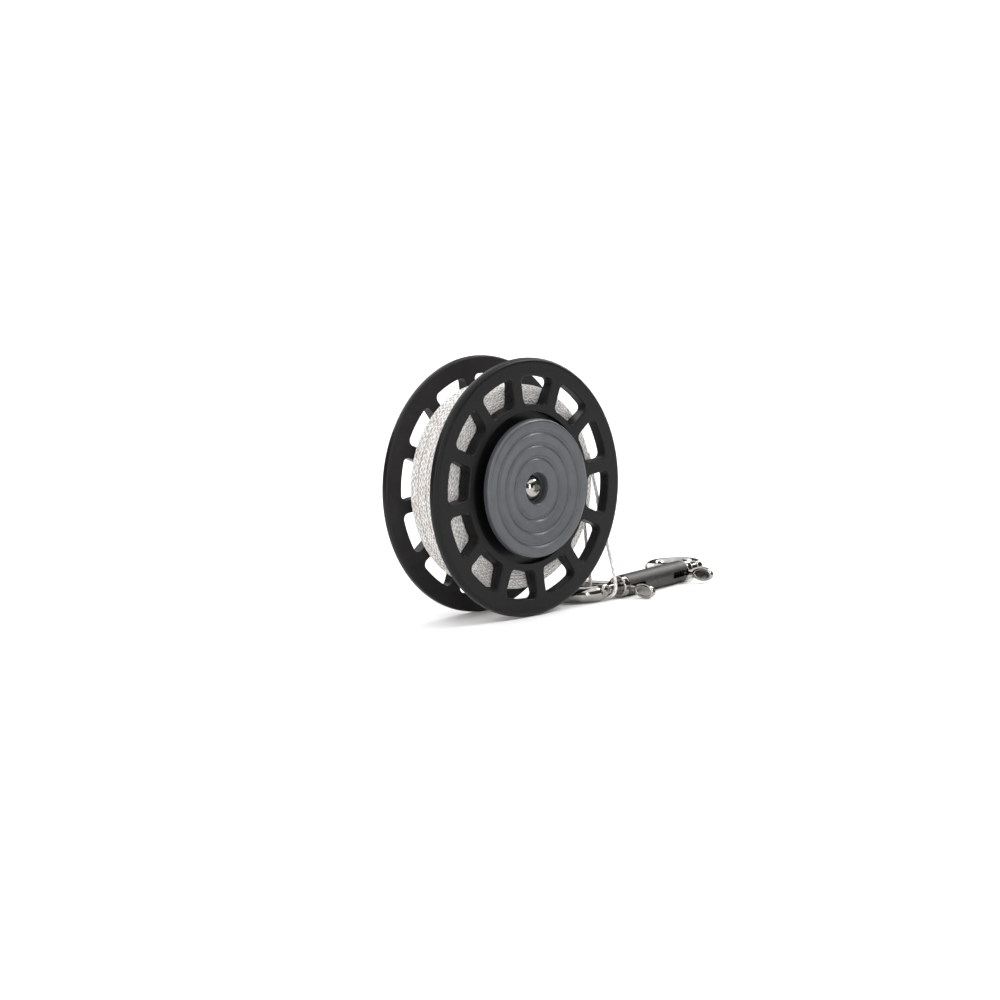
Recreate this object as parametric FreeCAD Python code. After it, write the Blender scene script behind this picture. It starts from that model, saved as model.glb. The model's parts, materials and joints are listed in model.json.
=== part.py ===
"""Finger spool of white braided line with a double-ended snap hook, in millimetres.

The spool stands on its two rims with its axis along Y, its front towards -Y, and the origin on the
ground under its middle. The free end of the line runs down to the snap, which lies at the +X side.
"""
import FreeCAD, Part
import math
import os

V = FreeCAD.Vector

# Spool body: two windowed flanges on a drum. "Station" is a distance from the middle plane along Y.
FLANGE_RADIUS = 60.0
SPOOL_WIDTH = 36.6
RIM_THICKNESS = 4.2
HUB_THICKNESS = 7.8
RIM_FRONT_ROUND = 2.2
RIM_BACK_ROUND = 1.1
WINDOW_COUNT = 12
WINDOW_OUTER = 51.7
WINDOW_INNER = 38.6
SPOKE_WIDTH = 6.0
WINDOW_CORNER = 2.6
WINDOW_FRONT_ROUND = 0.7
WINDOW_RIM_MARGIN = 0.5
FIRST_SPOKE_DEG = -6.0
DRUM_RADIUS = 30.0
DRUM_WALL = 3.0
CUT_OVERRUN = 5.0
SAME_PLACE = 0.01

# Free-spinning thumb discs on a through axle.
DISC_RADIUS = 32.2
DISC_PROUD = 6.2
DISC_EDGE_THICKNESS = 3.4
DISC_EDGE_ROUND = 1.6
DISC_DISH_DEPTH = 0.9
RECESS_RADIUS = 35.4
RECESS_DEPTH = 3.4
BOSS_GAP = 0.8
GROOVE_SHARES = (0.444, 0.630, 0.814)
GROOVE_WIDTH = 2.3
GROOVE_DEPTH = 0.7
GROOVE_LIP_ROUND = 0.3
GROOVE_LIP_SPREAD = 0.1
INNER_LAND = 1.3
OUTER_LAND = 2.2
DIMPLE_RADIUS = 7.2
DIMPLE_DEPTH = 4.9
DIMPLE_EDGE_ROUND = 0.8
AXLE_RADIUS = 6.0
AXLE_WAIST = 5.4
AXLE_WAIST_LENGTH = 12.0
DISC_WEB = 1.6
BOSS_WALL = 4.5
RUNNING_GAP = 0.05
BUSH_WALL = 3.0
BUSH_COLLAR = 3.0
BUSH_COLLAR_THICKNESS = 1.0
BUSH_LENGTH = 6.0
WASHER_THICKNESS = 0.7
WASHER_WALL = 3.2

# Fasteners.
DISC_SCREW_RADIUS = 3.0
DISC_SCREW_HEAD_RADIUS = 6.0
DISC_SCREW_HEAD_HEIGHT = 3.4
DISC_SCREW_LENGTH = 10.0
HEX_ACROSS_FLATS = 4.0
HEX_DEPTH = 2.0
FLANGE_SCREW_COUNT = 4
FLANGE_SCREW_CIRCLE = 23.0
FLANGE_SCREW_RADIUS = 1.5
FLANGE_SCREW_HEAD_RADIUS = 2.9
FLANGE_SCREW_HEAD_HEIGHT = 1.6
FLANGE_SCREW_LENGTH = 10.0
FLANGE_SCREW_SLOT = 0.8
SCREW_BOSS_RADIUS = 4.6
ANCHOR_POST_RADIUS = 2.5
ANCHOR_POST_CIRCLE = 22.0
LINE_HOLE_RADIUS = 1.6

# Line.
LINE_DIAMETER = 1.6
WINDING_RADIUS = 47.6
WINDING_SHOULDER = 0.7
WINDING_GAP = 0.15
WINDING_CROWN = 2.5
SPLICE_RADIUS = 1.3
SPLICE_LENGTH = 15.0

# Double-ended snap. Local frame: u along the barrel, v towards the hooks' bulge, w up.
SNAP_CENTRE = (89.0, -8.0)
SNAP_TURN_DEG = 10.0
BARREL_RADIUS = 5.2
BARREL_BORE = 4.0
BARREL_LENGTH = 50.0
BARREL_GROUND_GAP = 0.1
BARREL_END_ROUND = 0.6
COLLAR_LENGTH = 4.3
COLLAR_ROUND = 0.8
SPIGOT_RADIUS = 4.6
SPIGOT_LENGTH = 2.5
EYE_RADIUS = 11.0
EYE_OFFSET = 13.5
HOOK_HALF_WIDTH = 3.3
HOOK_HALF_HEIGHT = 3.8
HOOK_DROP = 1.35
HOOK_SWEEP_DEG = 272
ARM_FUSE = 1.2
TIP_RADIUS = 3.2
TIP_LENGTH = 4.6
TIP_ROUND = 1.0
TIP_OFFSET = 1.0
BOLT_RADIUS = 2.3
BOLT_FIT = 0.1
BOLT_TIP_GAP = 0.3
BOLT_CHAMFER = 0.4
PISTON_LENGTH = 4.2
PISTON_END_GAP = 0.2
BOLT_TRAVEL = 12.0
LEVER_NECK_RADIUS = 1.3
SLOT_FIT = 0.2
LEVER_PAST_BARREL = 0.2
LEVER_DROP_DEG = {-1: 8.0, 1: 3.5}
PAD_HALF_LENGTH = 5.6
PAD_HALF_WIDTH = 3.35
PAD_REACH = 13.2
PAD_THICKNESS = 2.8
PAD_ROUND = 0.8
PAD_DISH_MARGIN = 1.0
PAD_DISH_DEPTH = 0.5
PAD_DISH_ROUND = 0.4
NECK_FUSE = 1.5
SPRING_WIRE = 0.6
SPRING_TURNS = 9
SPRING_STEPS = 16
SPRING_BORE_GAP = 0.2
SPRING_END_GAP = 0.1
SEAT_THICKNESS = 2.0

OUTER_STATION = SPOOL_WIDTH / 2
RIM_STATION = OUTER_STATION - RIM_THICKNESS
CORE_STATION = OUTER_STATION - HUB_THICKNESS
RECESS_STATION = OUTER_STATION - RECESS_DEPTH
DISC_FACE_STATION = OUTER_STATION + DISC_PROUD
DISC_BACK_STATION = DISC_FACE_STATION - DISC_EDGE_THICKNESS
BOSS_STATION = RECESS_STATION + BOSS_GAP
SCREW_SEAT_STATION = DISC_FACE_STATION - DIMPLE_DEPTH
AXLE_END_STATION = SCREW_SEAT_STATION - DISC_WEB
BUSH_BORE = AXLE_RADIUS + RUNNING_GAP
BUSH_OUTER = BUSH_BORE + BUSH_WALL
BUSH_COLLAR_RADIUS = BUSH_OUTER + BUSH_COLLAR
AXLE_CENTRE = V(0, 0, FLANGE_RADIUS)
ALONG_AXLE = V(0, 1, 0)
GROOVE_RADII = [DISC_RADIUS * share for share in GROOVE_SHARES]
DISC_DISH_TO = GROOVE_RADII[0] - INNER_LAND
DISC_FLAT_FROM = GROOVE_RADII[-1] + OUTER_LAND

LEVER_U = BARREL_LENGTH / 2 + LEVER_PAST_BARREL
EYE_U = BARREL_LENGTH / 2 + COLLAR_LENGTH + EYE_RADIUS
TIP_U = EYE_U - TIP_LENGTH / 2
SNAP_AXIS_HEIGHT = BARREL_RADIUS + BARREL_GROUND_GAP

# Route of the free line: down from the winding beside the front flange, round the closed bolt on the
# ground and back up. Heights at the winding go with the axle.
LINE_ROUTE = [
    V(47.2, 3.9 - RIM_STATION, FLANGE_RADIUS + 10.5), V(50.0, 3.5 - RIM_STATION, FLANGE_RADIUS - 2.5),
    V(53.2, 3.1 - RIM_STATION, FLANGE_RADIUS - 17.8), V(56.3, 2.4 - RIM_STATION, 25.7),
    V(54.6, -17.6, 11.5), V(54.5, -18.0, 1.5), V(50.6, -5.2, 1.0), V(50.7, -5.0, 11.0),
    V(48.7, -5.2, 27.0), V(48.1, -5.0, FLANGE_RADIUS - 17.0), V(48.5, -4.7, FLANGE_RADIUS - 2.0),
]
SPLICE_POINT = 2


def save(node, shape):
    """Write one sub-part to its own file."""
    shape.exportStep(os.path.join("parts", node + ".step"))
    print(node, "solids", len(shape.Solids), "volume", round(shape.Volume, 1))


def spun(outline, side):
    """Turn an outline of (radius, station) points about the spool's axis."""
    wire = Part.makePolygon([V(r, side * s, FLANGE_RADIUS) for r, s in outline + outline[:1]])
    return Part.Face(wire).revolve(AXLE_CENTRE, ALONG_AXLE, 360)


def rod(radius, low, high, side=1, x=0.0, z=0.0):
    """Round bar along the spool's axis between two stations, beside the axle by (x, z)."""
    start = V(x, side * low, FLANGE_RADIUS + z)
    return Part.makeCylinder(radius, high - low, start, V(0, side, 0))


def on_circle(radius, degrees):
    """Offset (x, z) at an angle clockwise from the top, seen from the front."""
    angle = math.radians(degrees)
    return radius * math.sin(angle), radius * math.cos(angle)


def inner_station(radius):
    """Station of a flange's inner face, which leans outwards from the drum to the rim."""
    share = (radius - DRUM_RADIUS) / (FLANGE_RADIUS - DRUM_RADIUS)
    return CORE_STATION + share * (RIM_STATION - CORE_STATION)


def edges_on_circle(shape, radius, station):
    """Circular edges of one radius at one station on either side."""
    found = []
    for edge in shape.Edges:
        curve = edge.Curve
        if not isinstance(curve, Part.Circle) or abs(curve.Radius - radius) > SAME_PLACE:
            continue
        if abs(abs(curve.Center.y) - station) < SAME_PLACE:
            found.append(edge)
    return found


def window_cutter():
    """Prism of one window, centred at the top, running through a flange."""
    half = math.pi / WINDOW_COUNT
    side_gap = SPOKE_WIDTH / 2

    def corner(radius):
        along = math.sqrt(radius ** 2 - side_gap ** 2)
        return (along * math.sin(half) - side_gap * math.cos(half),
                along * math.cos(half) + side_gap * math.sin(half))

    (xo, zo), (xi, zi) = corner(WINDOW_OUTER), corner(WINDOW_INNER)
    base = OUTER_STATION + CUT_OVERRUN

    def at(x, z):
        return V(x, -base, FLANGE_RADIUS + z)

    outline = Part.Wire([
        Part.Arc(at(-xo, zo), at(0, WINDOW_OUTER), at(xo, zo)).toShape(),
        Part.LineSegment(at(xo, zo), at(xi, zi)).toShape(),
        Part.Arc(at(xi, zi), at(0, WINDOW_INNER), at(-xi, zi)).toShape(),
        Part.LineSegment(at(-xi, zi), at(-xo, zo)).toShape(),
    ])
    prism = Part.Face(outline).extrude(V(0, HUB_THICKNESS + 2 * CUT_OVERRUN, 0))
    upright = [e for e in prism.Edges if abs(e.BoundBox.YLength - e.Length) < SAME_PLACE]
    return prism.makeFillet(WINDOW_CORNER, upright)


def flange_blank():
    """Front flange before its windows and holes are cut."""
    blank = spun([
        (BUSH_OUTER, CORE_STATION), (DRUM_RADIUS, CORE_STATION), (FLANGE_RADIUS, RIM_STATION),
        (FLANGE_RADIUS, OUTER_STATION), (RECESS_RADIUS, OUTER_STATION),
        (RECESS_RADIUS, RECESS_STATION), (BUSH_OUTER, RECESS_STATION),
    ], -1)
    blank = blank.makeFillet(RIM_FRONT_ROUND, edges_on_circle(blank, FLANGE_RADIUS, OUTER_STATION))
    return blank.makeFillet(RIM_BACK_ROUND, edges_on_circle(blank, FLANGE_RADIUS, RIM_STATION))


def window_front_edges(shape):
    """Edges of the windows on a flange's outer face."""
    found = []
    for edge in shape.Edges:
        box = edge.BoundBox
        middle = edge.valueAt((edge.FirstParameter + edge.LastParameter) / 2)
        radius = math.hypot(middle.x, middle.z - FLANGE_RADIUS)
        flat = box.YLength < SAME_PLACE and abs(box.YMin + OUTER_STATION) < SAME_PLACE
        rim = FLANGE_RADIUS - RIM_FRONT_ROUND - WINDOW_RIM_MARGIN
        if flat and RECESS_RADIUS + WINDOW_RIM_MARGIN < radius < rim:
            found.append(edge)
    return found


def front_flange():
    """Front flange: windows between spokes, a sunk hub face, bush bore and screw holes."""
    flange = flange_blank()
    cutter = window_cutter()
    windows = []
    for index in range(WINDOW_COUNT):
        window = cutter.copy()
        middle = FIRST_SPOKE_DEG + (index + 0.5) * 360 / WINDOW_COUNT
        window.rotate(AXLE_CENTRE, ALONG_AXLE, middle)
        windows.append(window)
    flange = flange.cut(windows)
    flange = flange.makeFillet(WINDOW_FRONT_ROUND, window_front_edges(flange))
    collar_low = RECESS_STATION - BUSH_COLLAR_THICKNESS
    holes = [rod(BUSH_COLLAR_RADIUS, collar_low, RECESS_STATION + CUT_OVERRUN, -1)]
    for x, z in screw_places():
        holes.append(rod(FLANGE_SCREW_RADIUS, 0, RECESS_STATION + CUT_OVERRUN, -1, x, z))
        holes.append(screw_head(x, z))
    return flange.cut(holes)


def rear_copy(shape):
    """The same piece on the other side of the middle plane."""
    return shape.mirror(V(0, 0, 0), ALONG_AXLE)


def screw_places():
    """Offsets of the countersunk flange screws."""
    step = 360 / FLANGE_SCREW_COUNT
    return [on_circle(FLANGE_SCREW_CIRCLE, step * (k + 0.5)) for k in range(FLANGE_SCREW_COUNT)]


def screw_head(x, z):
    """Cone of one countersunk head in the front flange's sunk face."""
    tip = V(x, -(RECESS_STATION - FLANGE_SCREW_HEAD_HEIGHT), FLANGE_RADIUS + z)
    return Part.makeCone(FLANGE_SCREW_RADIUS, FLANGE_SCREW_HEAD_RADIUS,
                         FLANGE_SCREW_HEAD_HEIGHT, tip, V(0, -1, 0))


def flange_screws():
    """Front set of countersunk screws that hold a flange on the drum."""
    screws = []
    low = RECESS_STATION - FLANGE_SCREW_LENGTH
    for x, z in screw_places():
        screw = rod(FLANGE_SCREW_RADIUS, low, RECESS_STATION, -1, x, z).fuse(screw_head(x, z))
        corner = V(x - FLANGE_SCREW_HEAD_RADIUS, -RECESS_STATION,
                   FLANGE_RADIUS + z - FLANGE_SCREW_SLOT / 2)
        slot = Part.makeBox(2 * FLANGE_SCREW_HEAD_RADIUS, FLANGE_SCREW_SLOT, FLANGE_SCREW_SLOT, corner)
        screws.append(screw.cut(slot).removeSplitter())
    return Part.makeCompound(screws)


def drum_core():
    """Hollow drum with screw bosses inside and a hole for the line's inner end."""
    drum = rod(DRUM_RADIUS, -CORE_STATION, CORE_STATION)
    drum = drum.cut(rod(DRUM_RADIUS - DRUM_WALL, -CORE_STATION, CORE_STATION))
    bosses = [rod(SCREW_BOSS_RADIUS, -CORE_STATION, CORE_STATION, 1, x, z) for x, z in screw_places()]
    drum = drum.fuse(bosses).common(rod(DRUM_RADIUS, -CORE_STATION, CORE_STATION))
    reach = FLANGE_SCREW_LENGTH - (RECESS_STATION - CORE_STATION)
    holes = []
    for side in (-1, 1):
        for x, z in screw_places():
            holes.append(rod(FLANGE_SCREW_RADIUS, CORE_STATION - reach, CORE_STATION, side, x, z))
    holes.append(Part.makeCylinder(LINE_HOLE_RADIUS, DRUM_RADIUS + CUT_OVERRUN, AXLE_CENTRE, V(0, 0, 1)))
    return drum.cut(holes).removeSplitter()


def anchor_post():
    """Post inside the drum that the line's inner end is tied to."""
    return rod(ANCHOR_POST_RADIUS, -CORE_STATION, CORE_STATION, 1, 0, ANCHOR_POST_CIRCLE)


def front_bush():
    """Flanged bush pressed into the front flange."""
    low = RECESS_STATION - BUSH_LENGTH
    collar_low = RECESS_STATION - BUSH_COLLAR_THICKNESS
    return spun([
        (BUSH_BORE, low), (BUSH_OUTER, low), (BUSH_OUTER, collar_low), (BUSH_COLLAR_RADIUS, collar_low),
        (BUSH_COLLAR_RADIUS, RECESS_STATION), (BUSH_BORE, RECESS_STATION),
    ], -1)


def front_washer():
    """Thrust washer between a disc's boss and the bush."""
    low = BOSS_STATION - RUNNING_GAP - WASHER_THICKNESS
    return spun([
        (BUSH_BORE, low), (AXLE_RADIUS + WASHER_WALL, low),
        (AXLE_RADIUS + WASHER_WALL, low + WASHER_THICKNESS), (BUSH_BORE, low + WASHER_THICKNESS),
    ], -1)


def axle():
    """Axle with a slimmer waist and a tapped hole in each end."""
    waist = AXLE_WAIST_LENGTH / 2
    bar = spun([
        (0, -AXLE_END_STATION), (AXLE_RADIUS, -AXLE_END_STATION), (AXLE_RADIUS, -waist),
        (AXLE_WAIST, -waist), (AXLE_WAIST, waist), (AXLE_RADIUS, waist),
        (AXLE_RADIUS, AXLE_END_STATION), (0, AXLE_END_STATION),
    ], 1)
    depth = DISC_SCREW_LENGTH - DISC_WEB
    holes = [rod(DISC_SCREW_RADIUS, AXLE_END_STATION - depth, AXLE_END_STATION, s) for s in (-1, 1)]
    return bar.cut(holes)


def disc_face(radius):
    """Station of the disc's face: a flat outer ring, then a shallow dish down to the middle."""
    share = (DISC_FLAT_FROM - radius) / (DISC_FLAT_FROM - DISC_DISH_TO)
    return DISC_FACE_STATION - DISC_DISH_DEPTH * min(max(share, 0), 1)


def groove_cutters():
    """Rings of round section that sink the thumb grooves into the front disc's face."""
    half = GROOVE_WIDTH / 2
    section = (half ** 2 + GROOVE_DEPTH ** 2) / (2 * GROOVE_DEPTH)
    rings = []
    for radius in GROOVE_RADII:
        middle = disc_face(radius) - GROOVE_DEPTH + section
        rings.append(Part.makeTorus(radius, section, V(0, -middle, FLANGE_RADIUS), ALONG_AXLE))
    return rings


def groove_lips(disc):
    """Edges where the thumb grooves meet the front disc's face."""
    found = []
    for edge in disc.Edges:
        if not isinstance(edge.Curve, Part.Circle):
            continue
        offset = min(abs(edge.Curve.Radius - radius) for radius in GROOVE_RADII)
        if abs(offset - GROOVE_WIDTH / 2) < GROOVE_LIP_SPREAD:
            found.append(edge)
    return found


def front_disc():
    """Front thumb disc: a dished plate with a boss that sits on the axle's end."""
    boss = AXLE_RADIUS + BOSS_WALL
    disc = spun([
        (DISC_SCREW_RADIUS, SCREW_SEAT_STATION), (DISC_SCREW_RADIUS, AXLE_END_STATION),
        (AXLE_RADIUS, AXLE_END_STATION), (AXLE_RADIUS, BOSS_STATION), (boss, BOSS_STATION),
        (boss, DISC_BACK_STATION), (DISC_RADIUS, DISC_BACK_STATION), (DISC_RADIUS, DISC_FACE_STATION),
        (DISC_FLAT_FROM, DISC_FACE_STATION), (DISC_DISH_TO, disc_face(DISC_DISH_TO)),
        (DIMPLE_RADIUS, disc_face(DIMPLE_RADIUS)), (DIMPLE_RADIUS, SCREW_SEAT_STATION),
    ], -1)
    disc = disc.makeFillet(DISC_EDGE_ROUND, edges_on_circle(disc, DISC_RADIUS, DISC_FACE_STATION))
    lip = edges_on_circle(disc, DIMPLE_RADIUS, disc_face(DIMPLE_RADIUS))
    disc = disc.makeFillet(DIMPLE_EDGE_ROUND, lip).cut(groove_cutters())
    return disc.makeFillet(GROOVE_LIP_ROUND, groove_lips(disc))


def disc_screw():
    """Front button-head screw with a hexagon socket."""
    seat = V(0, -SCREW_SEAT_STATION, FLANGE_RADIUS)
    rise, reach = DISC_SCREW_HEAD_HEIGHT, DISC_SCREW_HEAD_RADIUS
    ball_radius = (reach ** 2 + rise ** 2) / (2 * rise)
    ball_centre = V(0, -(SCREW_SEAT_STATION + rise - ball_radius), FLANGE_RADIUS)
    ball = Part.makeSphere(ball_radius, ball_centre)
    head = ball.common(rod(reach, SCREW_SEAT_STATION, SCREW_SEAT_STATION + rise, -1))
    shank = rod(DISC_SCREW_RADIUS, SCREW_SEAT_STATION - DISC_SCREW_LENGTH, SCREW_SEAT_STATION, -1)
    corner_radius = HEX_ACROSS_FLATS / math.sqrt(3)
    floor = seat + V(0, -(rise - HEX_DEPTH), 0)
    corners = []
    for k in range(7):
        x, z = on_circle(corner_radius, 60 * k)
        corners.append(floor + V(x, 0, z))
    socket = Part.Face(Part.makePolygon(corners)).extrude(V(0, -rise, 0))
    return head.fuse(shank).cut(socket).removeSplitter()


def wound_line():
    """Outer shape of the line wound on the drum."""
    shoulder = WINDING_RADIUS - WINDING_SHOULDER
    low = CORE_STATION - WINDING_GAP
    high = inner_station(shoulder) - WINDING_GAP
    crown = high - WINDING_CROWN
    return spun([
        (DRUM_RADIUS, -low), (shoulder, -high), (WINDING_RADIUS, -crown), (WINDING_RADIUS, crown),
        (shoulder, high), (DRUM_RADIUS, low),
    ], 1)


def rounded_route(points):
    """Wire of straight runs joined by tangent arcs, and the list of the arcs' radii."""
    start, edges, radii = points[0], [], []
    for before, here, after in zip(points, points[1:], points[2:]):
        back, ahead = before - here, after - here
        turn = math.pi - back.getAngle(ahead)
        shorter = min(back.Length, ahead.Length)
        cut = 0.45 * shorter
        radius = cut / math.tan(turn / 2)
        back.normalize()
        ahead.normalize()
        enter, leave = here + back * cut, here + ahead * cut
        inward = back + ahead
        inward.normalize()
        middle = here + inward * (math.hypot(radius, cut) - radius)
        edges.append(Part.LineSegment(start, enter).toShape())
        edges.append(Part.Arc(enter, middle, leave).toShape())
        radii.append(round(radius, 1))
        start = leave
    edges.append(Part.LineSegment(start, points[-1]).toShape())
    return Part.Wire(edges), radii


def line_loop():
    """Free stretch of line as a round tube."""
    wire, radii = rounded_route(LINE_ROUTE)
    direction = LINE_ROUTE[1] - LINE_ROUTE[0]
    section = Part.Wire(Part.makeCircle(LINE_DIAMETER / 2, LINE_ROUTE[0], direction))
    tube = wire.makePipeShell([section], True, False)
    area = math.pi * LINE_DIAMETER ** 2 / 4
    print("line radii", radii, "length", round(wire.Length, 1),
          "volume over section x length", round(tube.Volume / (area * wire.Length), 4))
    return tube


def line_splice():
    """Thick stretch where the line is drawn back through its own braid, as a closed spindle."""
    before, here, after = LINE_ROUTE[SPLICE_POINT - 1:SPLICE_POINT + 2]
    along = after - before
    along.normalize()
    half, slim = SPLICE_LENGTH / 2, LINE_DIAMETER / 2
    arc = Part.Arc(V(slim, 0, -half), V(SPLICE_RADIUS, 0, 0), V(slim, 0, half)).toShape()
    rest = Part.makePolygon([V(slim, 0, half), V(0, 0, half), V(0, 0, -half), V(slim, 0, -half)])
    splice = Part.Face(Part.Wire([arc] + rest.Edges)).revolve(V(0, 0, 0), V(0, 0, 1), 360)
    splice.Placement = FreeCAD.Placement(here, FreeCAD.Rotation(V(0, 0, 1), along))
    return splice


def snap_place(shape, end):
    """Put a far-end snap piece in its place, or its mirror image for the near end (-1)."""
    if end < 0:
        shape = shape.mirror(V(0, 0, 0), V(1, 0, 0))
    shape = shape.copy()
    shape.rotate(V(0, 0, 0), V(0, 0, 1), SNAP_TURN_DEG)
    shape.translate(V(SNAP_CENTRE[0], SNAP_CENTRE[1], SNAP_AXIS_HEIGHT))
    return shape


def bar_u(radius, low, high, v=0.0):
    """Round bar along the snap between two places on u."""
    return Part.makeCylinder(radius, high - low, V(low, v, 0), V(1, 0, 0))


def lowered(shape, end):
    """Lever-side shape turned down towards the ground about the barrel's axis."""
    shape = shape.copy()
    shape.rotate(V(0, 0, 0), V(1, 0, 0), LEVER_DROP_DEG[end])
    return shape


def lever_slot(end):
    """Cutter of the far end's lever slot, from the drawn bolt to the closed one."""
    width = LEVER_NECK_RADIUS + SLOT_FIT
    low = LEVER_U - BOLT_TRAVEL
    reach = BARREL_RADIUS + CUT_OVERRUN
    box = Part.makeBox(BOLT_TRAVEL, reach, 2 * width, V(low, -reach, -width))
    ends = [Part.makeCylinder(width, reach, V(u, 0, 0), V(0, -1, 0)) for u in (low, LEVER_U)]
    return lowered(box.fuse(ends), end)


def snap_barrel():
    """Barrel tube with a seat for each hook's spigot and a slot for each thumb lever."""
    half = BARREL_LENGTH / 2
    barrel = bar_u(BARREL_RADIUS, -half, half)
    rims = [e for e in barrel.Edges if isinstance(e.Curve, Part.Circle)]
    cuts = [
        bar_u(BARREL_BORE, -half, half),
        bar_u(SPIGOT_RADIUS, half - SPIGOT_LENGTH, half),
        bar_u(SPIGOT_RADIUS, -half, SPIGOT_LENGTH - half),
        lever_slot(1),
        lever_slot(-1).mirror(V(0, 0, 0), V(1, 0, 0)),
    ]
    return barrel.makeFillet(BARREL_END_ROUND, rims).cut(cuts)


def hook_section(u, v):
    """Oval section of a hook's bend, standing across u at one place."""
    shorter, longer = sorted((HOOK_HALF_HEIGHT, HOOK_HALF_WIDTH))
    oval = Part.Ellipse(V(0, 0, 0), longer, shorter).toShape()
    if longer == HOOK_HALF_HEIGHT:
        oval.rotate(V(0, 0, 0), V(0, 0, 1), 90)
    oval.rotate(V(0, 0, 0), V(1, 0, 0), 90)
    oval.translate(V(u, v, -HOOK_DROP))
    return Part.Face(Part.Wire(oval))


def hook(end):
    """Hook with a spigot in the barrel, a slotted collar, a round eye and a tip that meets the bolt."""
    seat = BARREL_LENGTH / 2
    left = EYE_U - EYE_RADIUS
    section = hook_section(left, EYE_OFFSET)
    bend = section.revolve(V(EYE_U, EYE_OFFSET, 0), V(0, 0, 1), -HOOK_SWEEP_DEG)
    arm = section.extrude(V(0, -(EYE_OFFSET - BARREL_RADIUS + ARM_FUSE), 0))
    collar = bar_u(BARREL_RADIUS, seat, seat + COLLAR_LENGTH)
    collar = collar.makeFillet(COLLAR_ROUND, [e for e in collar.Edges if isinstance(e.Curve, Part.Circle)])
    spigot = bar_u(SPIGOT_RADIUS, seat - SPIGOT_LENGTH, seat + COLLAR_LENGTH / 2)
    tip = bar_u(TIP_RADIUS, TIP_U, TIP_U + TIP_LENGTH, TIP_OFFSET)
    tip = tip.makeFillet(TIP_ROUND, [e for e in tip.Edges if isinstance(e.Curve, Part.Circle)])
    wide_end = LEVER_U + PISTON_LENGTH / 2 + PISTON_END_GAP
    bores = [
        bar_u(BARREL_BORE, seat - SPIGOT_LENGTH, wide_end),
        bar_u(BOLT_RADIUS + BOLT_FIT, wide_end, TIP_U),
        lever_slot(end),
    ]
    return collar.fuse([arm, bend, spigot, tip]).cut(bores).removeSplitter()


def bolt(end):
    """Sliding bolt: a rod that closes the eye and a piston with a cross hole for the lever."""
    low = LEVER_U - PISTON_LENGTH / 2 + BOLT_FIT
    high = LEVER_U + PISTON_LENGTH / 2 - BOLT_FIT
    piston = bar_u(BARREL_BORE - BOLT_FIT, low, high)
    rod_end = TIP_U - BOLT_TIP_GAP
    bar = bar_u(BOLT_RADIUS, high, rod_end).fuse(piston)
    circles = [e for e in bar.Edges if isinstance(e.Curve, Part.Circle)]
    rim = [e for e in circles if abs(e.Curve.Center.x - rod_end) < SAME_PLACE]
    bar = bar.makeChamfer(BOLT_CHAMFER, rim)
    hole = Part.makeCylinder(LEVER_NECK_RADIUS, BARREL_RADIUS, V(LEVER_U, 0, 0), V(0, -1, 0))
    return bar.cut(lowered(hole, end)).removeSplitter()


def pad_oval(margin, low, high):
    """Oval prism about the pad's middle, smaller than its outline by a margin."""
    long, wide = PAD_HALF_LENGTH - margin, PAD_HALF_WIDTH - margin
    oval = Part.Wire(Part.Ellipse(V(0, 0, 0), long, wide).toShape())
    prism = Part.Face(oval).extrude(V(0, 0, high - low))
    prism.rotate(V(0, 0, 0), V(0, 0, 1), 90)
    prism.rotate(V(0, 0, 0), V(0, 1, 0), 90)
    prism.translate(V(LEVER_U + low, -PAD_REACH, 0))
    return prism


def oval_rims(prism, u):
    """Curved edges of an oval prism that lie at one place on u."""
    flat = [e for e in prism.Edges if e.BoundBox.XLength < SAME_PLACE]
    return [e for e in flat if abs(e.BoundBox.XMin - u) < SAME_PLACE]


def thumb_lever(end):
    """Thumb lever: a neck through the slot and an oval pad, dished on both faces."""
    half = PAD_THICKNESS / 2
    pad = pad_oval(0, -half, half)
    pad = pad.makeFillet(PAD_ROUND, oval_rims(pad, LEVER_U - half) + oval_rims(pad, LEVER_U + half))
    floor = half - PAD_DISH_DEPTH
    near = pad_oval(PAD_DISH_MARGIN, -half - CUT_OVERRUN, -floor)
    far = pad_oval(PAD_DISH_MARGIN, floor, half + CUT_OVERRUN)
    near = near.makeFillet(PAD_DISH_ROUND, oval_rims(near, LEVER_U - floor))
    far = far.makeFillet(PAD_DISH_ROUND, oval_rims(far, LEVER_U + floor))
    length = PAD_REACH - PAD_HALF_LENGTH + NECK_FUSE
    neck = Part.makeCylinder(LEVER_NECK_RADIUS, length, V(LEVER_U, 0, 0), V(0, -1, 0))
    return lowered(pad.fuse(neck).cut([near, far]).removeSplitter(), end)


def bolt_spring():
    """Compression spring between the middle seat and the piston, at its rest length."""
    low = SEAT_THICKNESS / 2 + SPRING_END_GAP + SPRING_WIRE / 2
    high = LEVER_U - PISTON_LENGTH / 2 + BOLT_FIT - SPRING_END_GAP - SPRING_WIRE / 2
    coil = BARREL_BORE - 2 * BOLT_FIT - SPRING_WIRE / 2 - SPRING_BORE_GAP
    steps = SPRING_TURNS * SPRING_STEPS
    points = []
    for k in range(steps + 1):
        angle = 2 * math.pi * k / SPRING_STEPS
        along = low + (high - low) * k / steps
        points.append(V(along, coil * math.cos(angle), coil * math.sin(angle)))
    curve = Part.BSplineCurve()
    curve.interpolate(points)
    direction = curve.tangent(curve.FirstParameter)[0]
    section = Part.Wire(Part.makeCircle(SPRING_WIRE / 2, points[0], direction))
    return Part.Wire(curve.toShape()).makePipeShell([section], True, True)


def spring_seat():
    """Plug in the middle of the barrel that both springs push against."""
    return bar_u(BARREL_BORE, -SEAT_THICKNESS / 2, SEAT_THICKNESS / 2)


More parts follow.
